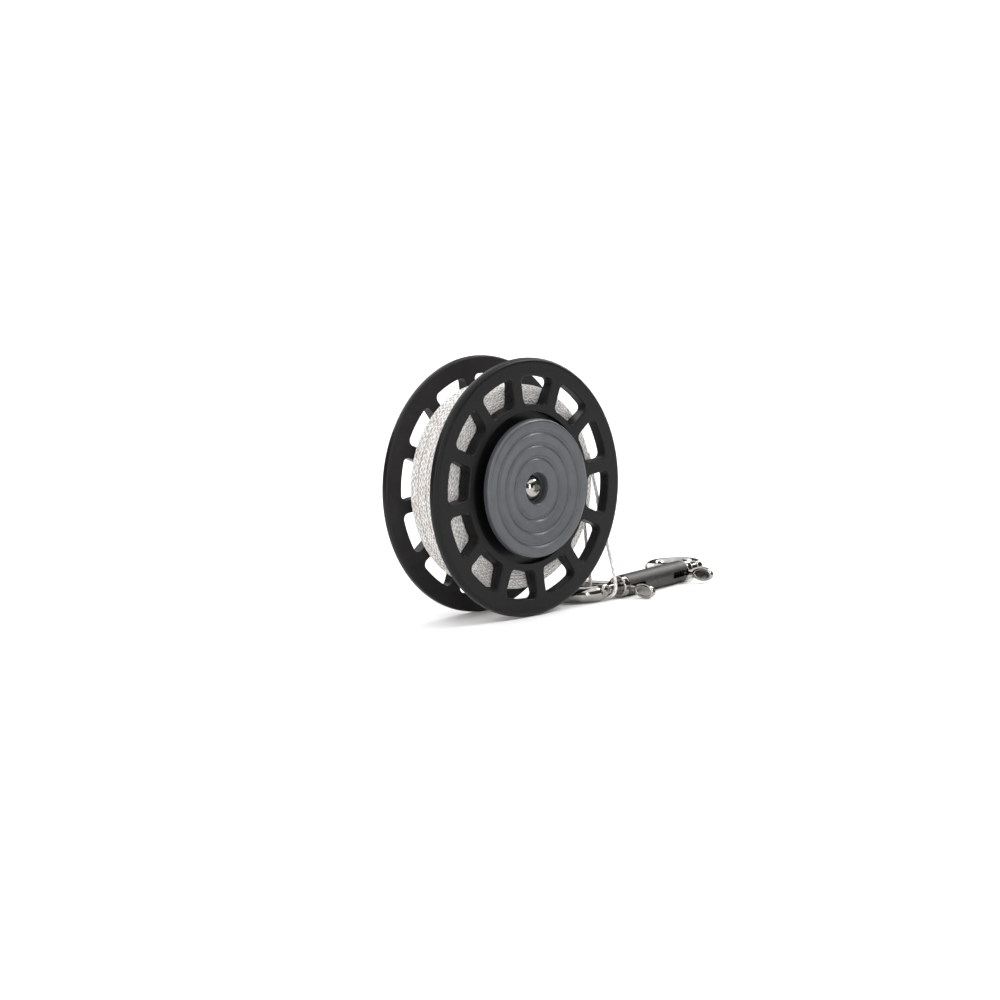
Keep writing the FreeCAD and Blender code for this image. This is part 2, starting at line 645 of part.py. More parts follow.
def main():
    """Build and write every sub-part."""
    os.makedirs("parts", exist_ok=True)
    sided = {
        "flange": front_flange, "flange_screws": flange_screws, "bush": front_bush,
        "thrust_washer": front_washer, "thumb_disc": front_disc, "disc_screw": disc_screw,
    }
    for name, build in sided.items():
        front = build()
        save("front_" + name, front)
        save("rear_" + name, rear_copy(front))
    save("drum_core", drum_core())
    save("line_anchor_post", anchor_post())
    save("axle", axle())
    save("wound_line", wound_line())
    save("line_loop", line_loop())
    save("line_splice", line_splice())
    save("snap_barrel", snap_place(snap_barrel(), 1))
    save("snap_spring_seat", snap_place(spring_seat(), 1))
    spring = bolt_spring()
    for prefix, end in (("snap_near_", -1), ("snap_far_", 1)):
        save(prefix + "hook", snap_place(hook(end), end))
        save(prefix + "bolt", snap_place(bolt(end), end))
        save(prefix + "thumb_lever", snap_place(thumb_lever(end), end))
        save(prefix + "bolt_spring", snap_place(spring, end))


main()
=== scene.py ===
"""Finger spool of white braided line with a double-ended snap hook.

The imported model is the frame. The winding, the free line, its splice and the springs are made here in
detail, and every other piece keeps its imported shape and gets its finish.
"""
import json
import logging
import math
from dataclasses import dataclass
from enum import Enum
from random import Random

import bpy
from mathutils import Matrix, Vector


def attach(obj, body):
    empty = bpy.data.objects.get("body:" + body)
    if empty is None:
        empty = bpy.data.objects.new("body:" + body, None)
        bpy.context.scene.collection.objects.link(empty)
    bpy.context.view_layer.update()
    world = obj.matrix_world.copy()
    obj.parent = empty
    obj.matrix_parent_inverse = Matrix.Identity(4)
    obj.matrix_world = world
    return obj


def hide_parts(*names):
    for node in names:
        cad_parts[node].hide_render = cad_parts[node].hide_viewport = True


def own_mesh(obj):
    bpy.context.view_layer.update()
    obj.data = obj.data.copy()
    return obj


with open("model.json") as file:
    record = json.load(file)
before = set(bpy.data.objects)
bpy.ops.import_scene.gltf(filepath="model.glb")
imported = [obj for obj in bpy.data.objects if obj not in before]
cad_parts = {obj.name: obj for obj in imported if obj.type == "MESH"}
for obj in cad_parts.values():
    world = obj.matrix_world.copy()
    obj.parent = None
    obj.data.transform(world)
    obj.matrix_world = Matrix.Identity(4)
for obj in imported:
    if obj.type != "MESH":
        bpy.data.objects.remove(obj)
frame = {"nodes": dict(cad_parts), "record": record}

LOG = logging.getLogger("finger_spool")
MM = 0.001
UP = Vector((0, 0, 1))
NOISE = "ShaderNodeTexNoise"
MATHS = "ShaderNodeMath"
MIX = "ShaderNodeMix"
RANGE = "ShaderNodeMapRange"
BUMP = "ShaderNodeBump"
BRAID_MIDDLE = 0.6


class Body(Enum):
    """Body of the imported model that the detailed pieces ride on."""

    SPOOL = "spool"


class Slide(Enum):
    """Joints of the snap's two bolts."""

    NEAR = "near_gate_slide"
    FAR = "far_gate_slide"


class Slot(Enum):
    """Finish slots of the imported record."""

    FLANGE = "flange"
    DISC = "disc"
    BUSH = "bush"
    LINE = "line"
    POLISHED = "polished_steel"
    TURNED = "small_steel"
    BARREL = "barrel"


def linear(colour: str) -> tuple[float, float, float, float]:
    """Turn an sRGB hex colour into linear light.

    Args:
        colour: Six hex digits after a hash sign.

    Returns:
        Red, green, blue and an alpha of one.
    """
    parts = [int(colour[k:k + 2], 16) / 255 for k in (1, 3, 5)]
    red, green, blue = (c / 12.92 if c <= 0.04045 else ((c + 0.055) / 1.055) ** 2.4 for c in parts)
    return red, green, blue, 1.0


def per_mm(size_mm: float) -> float:
    """Pattern scale, per metre, whose features are about size_mm across."""
    return 1 / (size_mm * MM)


def add(tree: bpy.types.NodeTree, kind: str, inputs: dict[str | int, object],
        **settings: object) -> bpy.types.Node:
    """Add one node with its settings, values and links.

    Args:
        tree: Node tree that gets the node.
        kind: Blender's name of the node type.
        inputs: Input name or number, and the value it takes, or the socket or node that feeds it. A
            node feeds it from its first output in use.
        settings: Attributes of the node itself.

    Returns:
        The new node.
    """
    node = tree.nodes.new(kind)
    for name, value in settings.items():
        setattr(node, name, value)
    for key, value in inputs.items():
        if isinstance(value, bpy.types.Node):
            value = next(out for out in value.outputs if out.enabled)
        if isinstance(value, bpy.types.NodeSocket):
            tree.links.new(value, node.inputs[key])
        else:
            node.inputs[key].default_value = value
    return node


@dataclass(frozen=True)
class Finish:
    """A finish: its real name, its shader constants and its own pattern."""

    title: str
    roughness: float
    metallic: float = 0.0
    ior: float = 1.5

    def material(self) -> bpy.types.Material:
        """Build the material.

        Returns:
            The material, ready to assign.
        """
        material = bpy.data.materials.new(self.title)
        material.use_nodes = True
        tree = material.node_tree
        tree.nodes.clear()
        spot = add(tree, "ShaderNodeTexCoord", {}).outputs["Object"]
        shader = add(tree, "ShaderNodeBsdfPrincipled", {
            "Roughness": self.roughness, "Metallic": self.metallic, "IOR": self.ior,
            **self.dress(tree, spot),
        })
        add(tree, "ShaderNodeOutputMaterial", {"Surface": shader})
        return material

    def dress(self, tree: bpy.types.NodeTree, spot: bpy.types.NodeSocket) -> dict[str, object]:
        """Add this finish's own nodes.

        Args:
            tree: Node tree of the material.
            spot: Place on the piece, in metres.

        Returns:
            Shader input, and the value it takes or the node that feeds it.
        """
        raise NotImplementedError


@dataclass(frozen=True)
class MouldedNylon(Finish):
    """Glass-filled nylon, injection moulded in a spark-eroded tool."""

    title: str = "glass-filled nylon, moulded black"
    roughness: float = 0.36
    ior: float = 1.53
    specular: float = 0.16
    colour: str = "#0a0a0b"
    # Paler grey that the inner faces are painted, a painted light for the light they catch.
    lit_inner_grey: str = "#211f20"
    speck: str = "#2c2c2d"
    pit_mm: float = 0.55
    pit_depth_mm: float = 0.06
    cloud_mm: float = 9.0
    inner_station_mm: float = 14.6
    inner_blend_mm: float = 0.7

    def dress(self, tree: bpy.types.NodeTree, spot: bpy.types.NodeSocket) -> dict[str, object]:
        """Add the eroded grain, and the painted light that makes the inner faces paler.

        Args:
            tree: Node tree of the material.
            spot: Place on the piece, in metres.

        Returns:
            Shader input, and the value it takes or the node that feeds it.
        """
        # The tool's fine pits break the gloss into a leathery satin. The inner faces, which face the
        # winding, are painted a paler grey in soft patches, a painted light for the light they catch, and
        # are made a little duller.
        pits = add(tree, NOISE, {
            "Vector": spot, "Scale": per_mm(self.pit_mm), "Detail": 3.0, "Roughness": 0.55})
        clouds = add(tree, NOISE, {
            "Vector": spot, "Scale": per_mm(self.cloud_mm), "Detail": 2.0, "Roughness": 0.55})
        axes = add(tree, "ShaderNodeSeparateXYZ", {0: spot}).outputs
        station = add(tree, MATHS, {0: axes["Y"]}, operation="ABSOLUTE")
        lit_full_station = self.inner_station_mm - self.inner_blend_mm
        inner = add(tree, RANGE, {0: station, 1: self.inner_station_mm * MM, 2: lit_full_station * MM})
        patchy = add(tree, RANGE, {0: clouds, 1: 0.3, 2: 0.7, 3: 0.7, 4: 1.0})
        # Painted light: the inner faces grow paler in soft patches, and duller.
        lit_inner_share = add(tree, MATHS, {0: inner, 1: patchy}, operation="MULTIPLY")
        dulled = add(tree, MATHS, {0: lit_inner_share, 1: 0.12}, operation="MULTIPLY")
        tone = add(tree, MIX, {
            0: lit_inner_share, 6: linear(self.colour), 7: linear(self.lit_inner_grey)}, data_type="RGBA")
        specks = add(tree, RANGE, {0: pits, 1: 0.35, 2: 0.65, 4: 0.14})
        gloss = add(tree, RANGE, {
            0: pits, 1: 0.3, 2: 0.7, 3: self.roughness - 0.06, 4: self.roughness + 0.06})
        return {
            "Base Color": add(tree, MIX, {0: specks, 6: tone, 7: linear(self.speck)}, data_type="RGBA"),
            "Roughness": add(tree, MATHS, {0: gloss, 1: dulled}, operation="ADD"),
            "Specular IOR Level": self.specular,
            "Normal": add(tree, BUMP, {
                "Height": pits, "Distance": self.pit_depth_mm * MM, "Strength": 0.6}),
        }


@dataclass(frozen=True)
class MouldedAbs(Finish):
    """ABS, injection moulded, slate grey, with a knit line below the middle of the front."""

    title: str = "abs, moulded slate grey"
    roughness: float = 0.32
    ior: float = 1.54
    colour: str = "#383a3e"
    light: str = "#424448"
    knit: str = "#26282b"
    grain_mm: float = 0.4
    grain_depth_mm: float = 0.01
    cloud_mm: float = 7.0
    knit_width_mm: float = 0.22
    knit_from_mm: float = 8.0
    axle_height_mm: float = 60.0

    def dress(self, tree: bpy.types.NodeTree, spot: bpy.types.NodeSocket) -> dict[str, object]:
        """Add flow clouds, fine grain and the knit line.

        Args:
            tree: Node tree of the material.
            spot: Place on the piece, in metres.

        Returns:
            Shader input, and the value it takes or the node that feeds it.
        """
        # Moulded ABS is an even satin grey with faint flow clouds. The two flow fronts meet below
        # the screw and leave a hairline, drawn 0.2 mm wide, coarser than it is, so that it shows.
        fine = add(tree, NOISE, {
            "Vector": spot, "Scale": per_mm(self.grain_mm), "Detail": 3.0, "Roughness": 0.55})
        clouds = add(tree, NOISE, {
            "Vector": spot, "Scale": per_mm(self.cloud_mm), "Detail": 2.0, "Roughness": 0.55})
        axes = add(tree, "ShaderNodeSeparateXYZ", {0: spot}).outputs
        side = add(tree, MATHS, {0: axes["X"]}, operation="ABSOLUTE")
        width = self.knit_width_mm * MM
        line = add(tree, RANGE, {0: side, 1: width, 2: width / 3})
        knit_top = (self.axle_height_mm - self.knit_from_mm) * MM
        below = add(tree, MATHS, {0: axes["Z"], 1: knit_top}, operation="LESS_THAN")
        knit = add(tree, MATHS, {0: line, 1: below}, operation="MULTIPLY")
        faint = add(tree, MATHS, {0: knit, 1: 0.45}, operation="MULTIPLY")
        flow = add(tree, RANGE, {0: clouds, 1: 0.3, 2: 0.7})
        tone = add(tree, MIX, {0: flow, 6: linear(self.colour), 7: linear(self.light)}, data_type="RGBA")
        height = add(tree, MATHS, {0: fine, 1: knit}, operation="SUBTRACT")
        return {
            "Base Color": add(tree, MIX, {0: faint, 6: tone, 7: linear(self.knit)}, data_type="RGBA"),
            "Roughness": add(tree, RANGE, {
                0: fine, 1: 0.3, 2: 0.7, 3: self.roughness - 0.04, 4: self.roughness + 0.04}),
            "Normal": add(tree, BUMP, {
                "Height": height, "Distance": self.grain_depth_mm * MM, "Strength": 0.5}),
        }


@dataclass(frozen=True)
class PolishedSteel(Finish):
    """Stainless steel, investment cast and tumbled to a mirror polish."""

    title: str = "stainless steel, cast and mirror polished"
    roughness: float = 0.15
    metallic: float = 1.0
    colour: str = "#a5a29e"
    dull: str = "#6f6d6a"
    wave_mm: float = 4.5
    wave_depth_mm: float = 0.22
    hair_mm: tuple[float, float, float] = (1.1111111, 3.8461538, 0.38461538)

    def dress(self, tree: bpy.types.NodeTree, spot: bpy.types.NodeSocket) -> dict[str, object]:
        """Add the casting's soft waviness and hairline scratches.

        Args:
            tree: Node tree of the material.
            spot: Place on the piece, in metres.

        Returns:
            Shader input, and the value it takes or the node that feeds it.
        """
        # A tumbled casting mirrors its surroundings in long soft-edged patches, a little wavy, with
        # hairlines that dull it here and there.
        waves = add(tree, NOISE, {
            "Vector": spot, "Scale": per_mm(self.wave_mm), "Detail": 1.0, "Roughness": 0.55})
        drawn_out = add(tree, "ShaderNodeMapping", {0: spot, 3: tuple(map(per_mm, self.hair_mm))})
        hair = add(tree, NOISE, {"Vector": drawn_out, "Scale": 1.0, "Detail": 3.0})
        patches = add(tree, RANGE, {0: waves, 1: 0.3, 2: 0.7, 4: 0.5})
        scratches = add(tree, MATHS, {0: hair, 1: 0.04}, operation="MULTIPLY")
        height = add(tree, MATHS, {0: waves, 1: scratches}, operation="ADD")
        return {
            "Base Color": add(tree, MIX, {
                0: patches, 6: linear(self.colour), 7: linear(self.dull)}, data_type="RGBA"),
            "Roughness": add(tree, RANGE, {
                0: hair, 1: 0.35, 2: 0.75, 3: self.roughness - 0.07, 4: self.roughness + 0.07}),
            "Normal": add(tree, BUMP, {
                "Height": height, "Distance": self.wave_depth_mm * MM, "Strength": 0.35}),
        }


@dataclass(frozen=True)
class TurnedSteel(Finish):
    """Stainless steel, turned on a lathe."""

    title: str = "stainless steel, turned"
    roughness: float = 0.31
    metallic: float = 1.0
    colour: str = "#b4b1ab"
    shade: str = "#8f8d88"
    ring_pitch_mm: float = 0.493466
    ring_depth_mm: float = 0.01
    cloud_mm: float = 3.0

    def dress(self, tree: bpy.types.NodeTree, spot: bpy.types.NodeSocket) -> dict[str, object]:
        """Add the tool's feed rings.

        Args:
            tree: Node tree of the material.
            spot: Place on the piece, in metres.

        Returns:
            Shader input, and the value it takes or the node that feeds it.
        """
        # The tool leaves fine rings that stretch the highlights across them. The real feed is about
        # 0.1 mm and is drawn coarser here so that it shows. At scale 1 the bands repeat every tau/20.
        rings = add(tree, "ShaderNodeTexWave", {
            "Vector": spot, "Scale": per_mm(self.ring_pitch_mm) * math.tau / 20, "Distortion": 0.4,
            "Detail": 1.0,
        }, bands_direction="Y").outputs[1]
        clouds = add(tree, NOISE, {
            "Vector": spot, "Scale": per_mm(self.cloud_mm), "Detail": 2.0, "Roughness": 0.55})
        patches = add(tree, RANGE, {0: clouds, 1: 0.3, 2: 0.7, 4: 0.4})
        return {
            "Base Color": add(tree, MIX, {
                0: patches, 6: linear(self.colour), 7: linear(self.shade)}, data_type="RGBA"),
            "Roughness": add(tree, RANGE, {
                0: clouds, 1: 0.3, 2: 0.7, 3: self.roughness - 0.07, 4: self.roughness + 0.07}),
            "Normal": add(tree, BUMP, {
                "Height": rings, "Distance": self.ring_depth_mm * MM, "Strength": 0.4}),
        }


@dataclass(frozen=True)
class AnodisedTube(Finish):
    """Aluminium tube, brushed lengthwise and hard anodised black."""

    title: str = "aluminium, brushed and hard anodised black"
    roughness: float = 0.5
    metallic: float = 1.0
    dark: str = "#3f3e3d"
    light: str = "#575553"
    knocked: str = "#8a8783"
    streak_length_mm: float = 7.142857
    streak_width_mm: float = 0.2777778
    streak_depth_mm: float = 0.012
    knock_mm: float = 0.9
    turn_deg: float = 10.0

    def dress(self, tree: bpy.types.NodeTree, spot: bpy.types.NodeSocket) -> dict[str, object]:
        """Add the brushing under the oxide and its worn specks.

        Args:
            tree: Node tree of the material.
            spot: Place on the piece, in metres.

        Returns:
            Shader input, and the value it takes or the node that feeds it.
        """
        # Hard anodising is a dull charcoal that keeps the brushing under it as faint long streaks,
        # with small pale specks where it has been knocked. The streaks are drawn coarser than real
        # brushing so that they show.
        sizes = (self.streak_length_mm, self.streak_width_mm, self.streak_width_mm)
        drawn_out = add(tree, "ShaderNodeMapping", {
            0: spot, 2: (0.0, 0.0, math.radians(-self.turn_deg)), 3: tuple(map(per_mm, sizes))})
        streaks = add(tree, NOISE, {"Vector": drawn_out, "Scale": 1.0, "Detail": 2.0})
        knocks = add(tree, NOISE, {
            "Vector": spot, "Scale": per_mm(self.knock_mm), "Detail": 2.0, "Roughness": 0.55})
        brushed = add(tree, RANGE, {0: streaks, 1: 0.3, 2: 0.7})
        tone = add(tree, MIX, {0: brushed, 6: linear(self.dark), 7: linear(self.light)}, data_type="RGBA")
        specks = add(tree, RANGE, {0: knocks, 1: 0.64, 2: 0.74, 4: 0.6})
        return {
            "Base Color": add(tree, MIX, {0: specks, 6: tone, 7: linear(self.knocked)}, data_type="RGBA"),
            "Roughness": add(tree, RANGE, {
                0: streaks, 1: 0.3, 2: 0.7, 3: self.roughness - 0.08, 4: self.roughness + 0.08}),
            "Normal": add(tree, BUMP, {
                "Height": streaks, "Distance": self.streak_depth_mm * MM, "Strength": 0.5}),
        }


@dataclass(frozen=True)
class MachinedAcetal(Finish):
    """Acetal, turned from rod."""

    title: str = "acetal, turned natural white"
    roughness: float = 0.36
    ior: float = 1.48
    colour: str = "#e9e6dd"
    grey: str = "#d6d2c7"
    cloud_mm: float = 2.0
    grain_mm: float = 0.3
    grain_depth_mm: float = 0.01

    def dress(self, tree: bpy.types.NodeTree, spot: bpy.types.NodeSocket) -> dict[str, object]:
        """Add the soft clouds and fine grain of waxy plastic.

        Args:
            tree: Node tree of the material.
            spot: Place on the piece, in metres.

        Returns:
            Shader input, and the value it takes or the node that feeds it.
        """
        # Acetal is waxy and off-white, and greys a little in soft patches where it has run.
        clouds = add(tree, NOISE, {
            "Vector": spot, "Scale": per_mm(self.cloud_mm), "Detail": 2.0, "Roughness": 0.55})
        fine = add(tree, NOISE, {
            "Vector": spot, "Scale": per_mm(self.grain_mm), "Detail": 2.0, "Roughness": 0.55})
        patches = add(tree, RANGE, {0: clouds, 1: 0.3, 2: 0.7})
        return {
            "Base Color": add(tree, MIX, {
                0: patches, 6: linear(self.colour), 7: linear(self.grey)}, data_type="RGBA"),
            "Roughness": add(tree, RANGE, {
                0: clouds, 1: 0.3, 2: 0.7, 3: self.roughness - 0.06, 4: self.roughness + 0.06}),
            "Normal": add(tree, BUMP, {
                "Height": fine, "Distance": self.grain_depth_mm * MM, "Strength": 0.5}),
        }


@dataclass(frozen=True)
class BraidedPolyester(Finish):
    """Polyester filament, braided round, undyed.

    The piece's UV map gives the length along the line in millimetres and the share of the way round.
    """

    title: str = "polyester filament, braided undyed"
    roughness: float = 0.72
    ior: float = 1.57
    crown: str = "#f7f5f3"
    shaded: str = "#dcdadb"
    soiled: str = "#d6cabf"
    # Darker grey painted into the valleys between strands as painted shade.
    valley_shade: str = "#7f7873"
    pick_mm: float = 2.8
    columns: int = 8
    filaments: int = 5
    looseness: float = 0.5
    loose_mm: float = 2.2
    soil_mm: float = 5.0
    shade_mm: float = 1.6
    strand_depth_mm: float = 0.16
    sheen: float = 0.25
    sheen_roughness: float = 0.4

    def dress(self, tree: bpy.types.NodeTree, spot: bpy.types.NodeSocket) -> dict[str, object]:
        """Add crossing strands with painted shade in the valleys between them, their filaments and
        soiling.

        Args:
            tree: Node tree of the material.
            spot: Place on the piece, in metres.

        Returns:
            Shader input, and the value it takes or the node that feeds it.
        """
        # Each strand shows as a slanted bright grain with a valley round it that is painted darker as
        # painted shade, and the filaments in it give a silky edge to the highlights. The picks are drawn
        # coarser than the real braid's so that they show.
        map_spot = add(tree, "ShaderNodeUVMap", {}, uv_map="line")
        along, around = add(tree, "ShaderNodeSeparateXYZ", {0: map_spot}).outputs[:2]
        loose = add(tree, NOISE, {"Vector": spot, "Scale": per_mm(self.loose_mm), "Detail": 2.0})
        shuffle = add(tree, RANGE, {0: loose, 1: 0.2, 2: 0.8, 3: -self.looseness, 4: self.looseness})
        picks = add(tree, MATHS, {0: along, 1: self.pick_mm}, operation="DIVIDE")
        steps = add(tree, MATHS, {0: picks, 1: shuffle}, operation="ADD")
        turns = add(tree, MATHS, {0: around, 1: self.columns / 2}, operation="MULTIPLY")
        ways = [add(tree, MATHS, {0: steps, 1: turns}, operation=step) for step in ("ADD", "SUBTRACT")]
        whole = [add(tree, MATHS, {0: way}, operation="FLOOR") for way in ways]
        both = add(tree, MATHS, {0: whole[0], 1: whole[1]}, operation="ADD")
        halves = add(tree, MATHS, {0: both, 1: 0.5}, operation="MULTIPLY")
        odd = add(tree, MATHS, {0: halves}, operation="FRACT")
        over = add(tree, MATHS, {0: odd, 1: 0.25}, operation="GREATER_THAN")
        arches, wide = [], []
        for way in ways:
            part = add(tree, MATHS, {0: way}, operation="FRACT")
            angle = add(tree, MATHS, {0: part, 1: math.pi}, operation="MULTIPLY")
            arches.append(add(tree, MATHS, {0: angle}, operation="SINE"))
            wide.append(add(tree, MATHS, {0: arches[-1], 1: 0.5, 2: 0.5}, operation="MULTIPLY_ADD"))
        first = add(tree, MATHS, {0: arches[0], 1: wide[1]}, operation="MULTIPLY")
        second = add(tree, MATHS, {0: arches[1], 1: wide[0]}, operation="MULTIPLY")
        height = add(tree, MIX, {0: over, 2: first, 3: second})
        across = add(tree, MIX, {0: over, 2: ways[0], 3: ways[1]})
        angle = add(tree, MATHS, {0: across, 1: math.tau * self.filaments}, operation="MULTIPLY")
        threads = add(tree, MATHS, {0: angle}, operation="SINE")
        low = add(tree, MATHS, {0: threads, 1: 0.05}, operation="MULTIPLY")
        raised = add(tree, MATHS, {0: height, 1: low}, operation="ADD")
        soil = add(tree, NOISE, {
            "Vector": spot, "Scale": per_mm(self.soil_mm), "Detail": 3.0, "Roughness": 0.55})
        shade = add(tree, NOISE, {
            "Vector": spot, "Scale": per_mm(self.shade_mm), "Detail": 2.0, "Roughness": 0.55})
        shades = add(tree, RANGE, {0: shade, 1: 0.35, 2: 0.65, 4: 0.8})
        clean = add(tree, MIX, {
            0: shades, 6: linear(self.crown), 7: linear(self.shaded)}, data_type="RGBA")
        stains = add(tree, RANGE, {0: soil, 1: 0.5, 2: 0.7, 4: 0.6})
        warm = add(tree, MIX, {0: stains, 6: clean, 7: linear(self.soiled)}, data_type="RGBA")
        # Painted shade: the base colour darkens towards the valleys between strands.
        share = add(tree, RANGE, {0: height, 1: 0.0, 2: 0.7})
        return {
            "Base Color": add(tree, MIX, {0: share, 6: linear(self.valley_shade), 7: warm}, data_type="RGBA"),
            "Sheen Weight": self.sheen,
            "Sheen Roughness": self.sheen_roughness,
            "Normal": add(tree, BUMP, {
                "Height": raised, "Distance": self.strand_depth_mm * MM, "Strength": 0.8}),
        }


@dataclass(frozen=True)
class PaintedSweep(Finish):
    """Studio sweep, rolled with matt white emulsion."""

    title: str = "board, rolled matt white emulsion"
    roughness: float = 0.9
    colour: str = "#f3f3f2"
    grey: str = "#f0f0ef"
    stipple_mm: float = 1.5
    stipple_depth_mm: float = 0.02

    def dress(self, tree: bpy.types.NodeTree, spot: bpy.types.NodeSocket) -> dict[str, object]:
        """Add the roller's faint stipple.

        Args:
            tree: Node tree of the material.
            spot: Place on the piece, in metres.

        Returns:
            Shader input, and the value it takes or the node that feeds it.
        """
        # Matt emulsion is an even pale field with a stipple that hardly shows.
        stipple = add(tree, NOISE, {
            "Vector": spot, "Scale": per_mm(self.stipple_mm), "Detail": 2.0, "Roughness": 0.55})
        patches = add(tree, RANGE, {0: stipple, 1: 0.3, 2: 0.7})
        return {
            "Base Color": add(tree, MIX, {
                0: patches, 6: linear(self.colour), 7: linear(self.grey)}, data_type="RGBA"),
            "Normal": add(tree, BUMP, {
                "Height": stipple, "Distance": self.stipple_depth_mm * MM, "Strength": 0.2}),
        }


class Wardrobe:
    """Finishes by slot, each made once."""

    def __init__(self) -> None:
        """Make every finish."""
        finishes = {
            Slot.FLANGE: MouldedNylon(), Slot.DISC: MouldedAbs(), Slot.BUSH: MachinedAcetal(),
            Slot.LINE: BraidedPolyester(), Slot.POLISHED: PolishedSteel(), Slot.TURNED: TurnedSteel(),
            Slot.BARREL: AnodisedTube(),
        }
        self.made = {slot: finish.material() for slot, finish in finishes.items()}

    def dress_packed(self) -> None:
        """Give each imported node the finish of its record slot."""
        for row in frame["record"]["subparts"]:
            finish = self.made[Slot(row["material_slot"])]
            mesh = frame["nodes"][row["node"]].data
            mesh.materials.clear()
            mesh.materials.append(finish)
            LOG.info("%s: %s", row["node"], finish.name)


def tube(name: str, line: list[Vector], radii: list[float], sides: int, closed: bool,
         start_mm: float = 0.0, crown: float = 0.0) -> bpy.types.Object:
    """Skin a line of points with a round tube whose UV map follows it, wavy where it is braided.

    Args:
        name: Name of the piece.
        line: Centreline points, in metres.
        radii: Tube radius at each point, in metres.
        sides: Faces round the tube.
        closed: Whether the last point joins the first.
        start_mm: Length along the line at the first point.
        crown: Share of the radius by which the braid's strands stand out.

    Returns:
        The tube, linked to the scene.
    """
    count = len(line)
    lengths = [start_mm]
    for before, here in zip(line, line[1:]):
        lengths.append(lengths[-1] + (here - before).length / MM)
    normal = Vector((0, 1, 0))
    rows: list[Vector] = []
    for k, here in enumerate(line):
        ahead = line[(k + 1) % count] if closed or k < count - 1 else here
        back = line[k - 1] if closed or k > 0 else here
        along = (ahead - back).normalized()
        normal = (normal - along * normal.dot(along)).normalized()
        side = along.cross(normal)
        for j in range(sides):
            share = j / sides
            lift = 1 + crown * (braid_height(lengths[k], share) - BRAID_MIDDLE)
            angle = 2 * math.pi * share
            rows.append(here + (normal * math.cos(angle) + side * math.sin(angle)) * radii[k] * lift)
    faces, texture = [], []
    rings = count if closed else count - 1
    for k in range(rings):
        nxt = (k + 1) % count
        far = lengths[nxt] if nxt else lengths[-1] + (line[0] - line[-1]).length / MM
        for j in range(sides):
            i = (j + 1) % sides
            faces.append((k * sides + j, nxt * sides + j, nxt * sides + i, k * sides + i))
            texture.extend([(lengths[k], j / sides), (far, j / sides),
                            (far, (j + 1) / sides), (lengths[k], (j + 1) / sides)])
    if not closed:
        faces.append(tuple(range(sides)))
        faces.append(tuple((count - 1) * sides + j for j in reversed(range(sides))))
        texture.extend([(lengths[0], 0.0)] * sides + [(lengths[-1], 0.0)] * sides)
    return piece(name, rows, faces, texture)


def piece(name: str, points: list[Vector], faces: list[tuple[int, ...]],
          texture: list[tuple[float, float]] | None = None) -> bpy.types.Object:
    """Make a smooth mesh piece.

    Args:
        name: Name of the piece.
        points: Its points, in metres.
        faces: Point numbers of each face.
        texture: UV pair for each face corner, if it has a UV map.

    Returns:
        The piece, linked to the scene.
    """
    mesh = bpy.data.meshes.new(name)
    mesh.from_pydata([tuple(point) for point in points], [], faces)
    if texture:
        layer = mesh.uv_layers.new(name="line")
        layer.data.foreach_set("uv", [value for pair in texture for value in pair])
    mesh.shade_smooth()
    made = bpy.data.objects.new(name, mesh)
    bpy.context.scene.collection.objects.link(made)
    return made


def braid_height(along_mm: float, around: float) -> float:
    """Height of the braid's strands at one spot, from 0 to 1.

    Args:
        along_mm: Length along the line.
        around: Share of the way round it.

    Returns:
        The height.
    """
    steps = along_mm / BraidedPolyester.pick_mm
    turns = around * BraidedPolyester.columns / 2
    left, right = steps + turns, steps - turns
    over = (math.floor(left) + math.floor(right)) % 2
    one, two = math.sin(math.pi * (left % 1)), math.sin(math.pi * (right % 1))
    return two * (0.5 + 0.5 * one) if over else one * (0.5 + 0.5 * two)


def finish_piece(made: bpy.types.Object, body: Body, slot: Slot, wardrobe: Wardrobe) -> None:
    """Dress a piece, put it on its body and report it.

    Args:
        made: The piece.
        body: Body that it rides on.
        slot: Its finish slot.
        wardrobe: Finishes by slot.
    """
    made.data.materials.append(wardrobe.made[slot])
    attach(made, body.value)
    LOG.info("%s: %d points, %s", made.name, len(made.data.vertices), wardrobe.made[slot].name)


